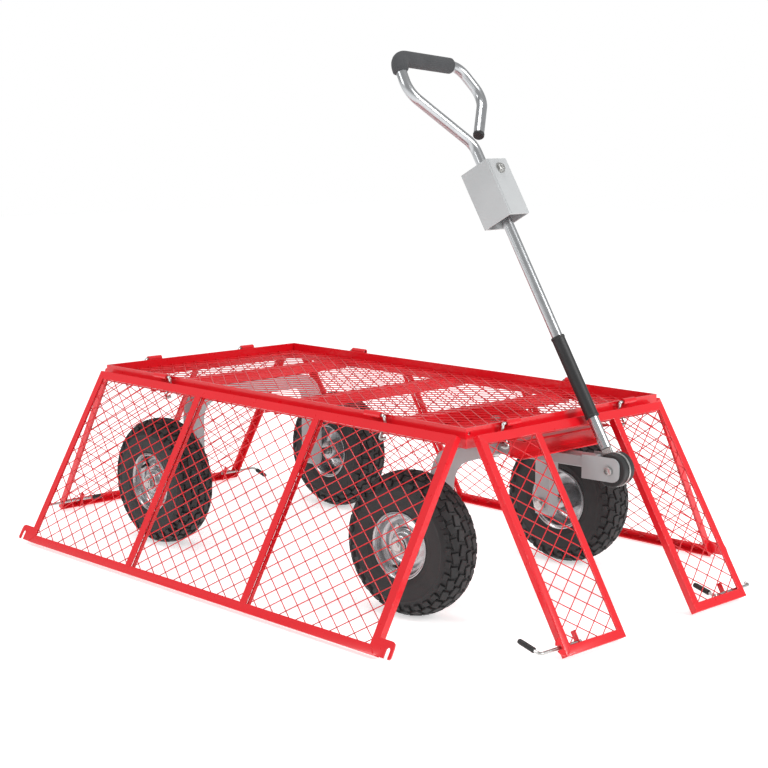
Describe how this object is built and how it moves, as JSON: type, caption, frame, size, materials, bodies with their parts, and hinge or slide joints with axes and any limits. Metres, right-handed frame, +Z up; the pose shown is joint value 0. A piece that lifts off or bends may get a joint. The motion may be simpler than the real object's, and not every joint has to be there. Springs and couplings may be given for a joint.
{
  "type": "garden cart",
  "caption": "Four-wheel steerable garden cart with a mesh deck, drop-down mesh panels on hinge pins, turn-lever latches and a leaning pull handle with a D-shaped grip.",
  "frame": {"origin": "floor level under the middle of the cart's bounding box", "axes": "+Z up, the handle end faces -Y, the cart's right-hand side faces -X"},
  "size_m": [0.9452, 1.4902, 0.992],
  "materials": {
    "red_paint": "gloss powder coat",
    "zinc_plate": "bright zinc plate",
    "grey_paint": "satin grey paint",
    "silver_rim": "silver paint on pressed steel",
    "black_rubber": "moulded",
    "foam": "closed-cell foam",
    "tyre_rubber": "moulded"
  },
  "bodies": {
    "chassis": {"deck_frame": "red_paint", "deck_mesh": "red_paint", "deck_beam_front": "red_paint", "deck_beam_middle": "red_paint", "deck_beam_rear": "red_paint", "steering_plate": "red_paint", "steering_bearing": "zinc_plate", "kingpin": "zinc_plate", "rear_axle_arch": "grey_paint", "rear_axle_right": "zinc_plate", "rear_axle_left": "zinc_plate"},
    "side_panel_right": {"side_frame_right": "red_paint", "side_mesh_right": "red_paint", "hinge_pin_right_a": "zinc_plate", "hinge_pin_right_b": "zinc_plate"},
    "side_panel_left": {"side_frame_left": "red_paint", "side_mesh_left": "red_paint", "hinge_pin_left_a": "zinc_plate", "hinge_pin_left_b": "zinc_plate"},
    "front_panel": {"front_frame": "red_paint", "front_mesh_right": "red_paint", "front_mesh_left": "red_paint", "hinge_pin_front_a": "zinc_plate", "hinge_pin_front_b": "zinc_plate"},
    "rear_panel": {"rear_frame": "red_paint", "rear_mesh": "red_paint", "hinge_pin_rear_a": "zinc_plate", "hinge_pin_rear_b": "zinc_plate"},
    "steering": {"front_axle_arch": "grey_paint", "front_axle_right": "zinc_plate", "front_axle_left": "zinc_plate", "drawbar": "grey_paint", "clevis": "grey_paint", "clevis_bolt": "zinc_plate"},
    "clevis_discs": {"friction_disc_right": "black_rubber", "friction_disc_left": "black_rubber"},
    "handle": {"handle_tongue": "zinc_plate", "handle_tube": "zinc_plate", "handle_sleeve": "black_rubber", "hitch_box": "grey_paint", "hitch_bolt": "zinc_plate", "grip_loop": "zinc_plate", "foam_grip": "foam", "loop_end_cap": "black_rubber"},
    "latch_front_right": {"latch_rod_front_right": "zinc_plate", "latch_grip_front_right": "black_rubber"},
    "wheel_front_right": {"tyre_front_right": "tyre_rubber", "rim_front_right": "silver_rim"},
    "latch_front_left": {"latch_rod_front_left": "zinc_plate", "latch_grip_front_left": "black_rubber"},
    "wheel_front_left": {"tyre_front_left": "tyre_rubber", "rim_front_left": "silver_rim"},
    "latch_rear_right": {"latch_rod_rear_right": "zinc_plate", "latch_grip_rear_right": "black_rubber"},
    "wheel_rear_right": {"tyre_rear_right": "tyre_rubber", "rim_rear_right": "silver_rim"},
    "latch_rear_left": {"latch_rod_rear_left": "zinc_plate", "latch_grip_rear_left": "black_rubber"},
    "wheel_rear_left": {"tyre_rear_left": "tyre_rubber", "rim_rear_left": "silver_rim"}
  },
  "joints": [
    {"name": "side_panel_right_hinge", "type": "hinge", "parent": "chassis", "child": "side_panel_right", "pos_m": [-0.275, 0, 0.356], "axis": [0, 1, 0], "range_deg": [0, 150.4]},
    {"name": "side_panel_left_hinge", "type": "hinge", "parent": "chassis", "child": "side_panel_left", "pos_m": [0.275, 0, 0.356], "axis": [0, -1, 0], "range_deg": [0, 150.4]},
    {"name": "front_panel_hinge", "type": "hinge", "parent": "chassis", "child": "front_panel", "pos_m": [0, -0.537, 0.356], "axis": [-1, 0, 0], "range_deg": [0, 149]},
    {"name": "rear_panel_hinge", "type": "hinge", "parent": "chassis", "child": "rear_panel", "pos_m": [0, 0.537, 0.356], "axis": [1, 0, 0], "range_deg": [0, 149]},
    {"name": "steering_turn", "type": "hinge", "parent": "chassis", "child": "steering", "pos_m": [0, -0.353, 0.3], "axis": [0, 0, 1], "range_deg": [-19.8, 8.2]},
    {"name": "disc_turn", "type": "hinge", "parent": "steering", "child": "clevis_discs", "pos_m": [0.02658, -0.61465, 0.258], "axis": [0.9949, 0.1011, 0], "range_deg": [0, 42]},
    {"name": "handle_swing", "type": "hinge", "parent": "clevis_discs", "child": "handle", "pos_m": [0.02658, -0.61465, 0.258], "axis": [0.9949, 0.1011, 0], "range_deg": [0, 90]},
    {"name": "wheel_spin_front_right", "type": "hinge", "parent": "steering", "child": "wheel_front_right", "pos_m": [-0.24375, -0.37776, 0.13], "axis": [0.9949, 0.1011, 0], "continuous": true},
    {"name": "wheel_spin_front_left", "type": "hinge", "parent": "steering", "child": "wheel_front_left", "pos_m": [0.24375, -0.32824, 0.13], "axis": [0.9949, 0.1011, 0], "continuous": true},
    {"name": "wheel_spin_rear_right", "type": "hinge", "parent": "chassis", "child": "wheel_rear_right", "pos_m": [-0.245, 0.353, 0.13], "axis": [1, 0, 0], "continuous": true},
    {"name": "wheel_spin_rear_left", "type": "hinge", "parent": "chassis", "child": "wheel_rear_left", "pos_m": [0.245, 0.353, 0.13], "axis": [1, 0, 0], "continuous": true},
    {"name": "latch_turn_front_right", "type": "hinge", "parent": "front_panel", "child": "latch_front_right", "pos_m": [-0.25, -0.72809, 0.0205], "axis": [1, 0, 0], "range_deg": [0, 180]},
    {"name": "latch_turn_front_left", "type": "hinge", "parent": "front_panel", "child": "latch_front_left", "pos_m": [0.25, -0.72809, 0.0205], "axis": [1, 0, 0], "range_deg": [0, 40]},
    {"name": "latch_turn_rear_left", "type": "hinge", "parent": "rear_panel", "child": "latch_rear_left", "pos_m": [0.25, 0.72809, 0.0205], "axis": [-1, 0, 0], "range_deg": [0, 180]},
    {"name": "latch_turn_rear_right", "type": "hinge", "parent": "rear_panel", "child": "latch_rear_right", "pos_m": [-0.25, 0.72809, 0.0205], "axis": [-1, 0, 0], "range_deg": [0, 40]}
  ],
  "couplings": [
    {"joint": "disc_turn", "follows": "front_panel_hinge", "ratio": 0.28}
  ]
}
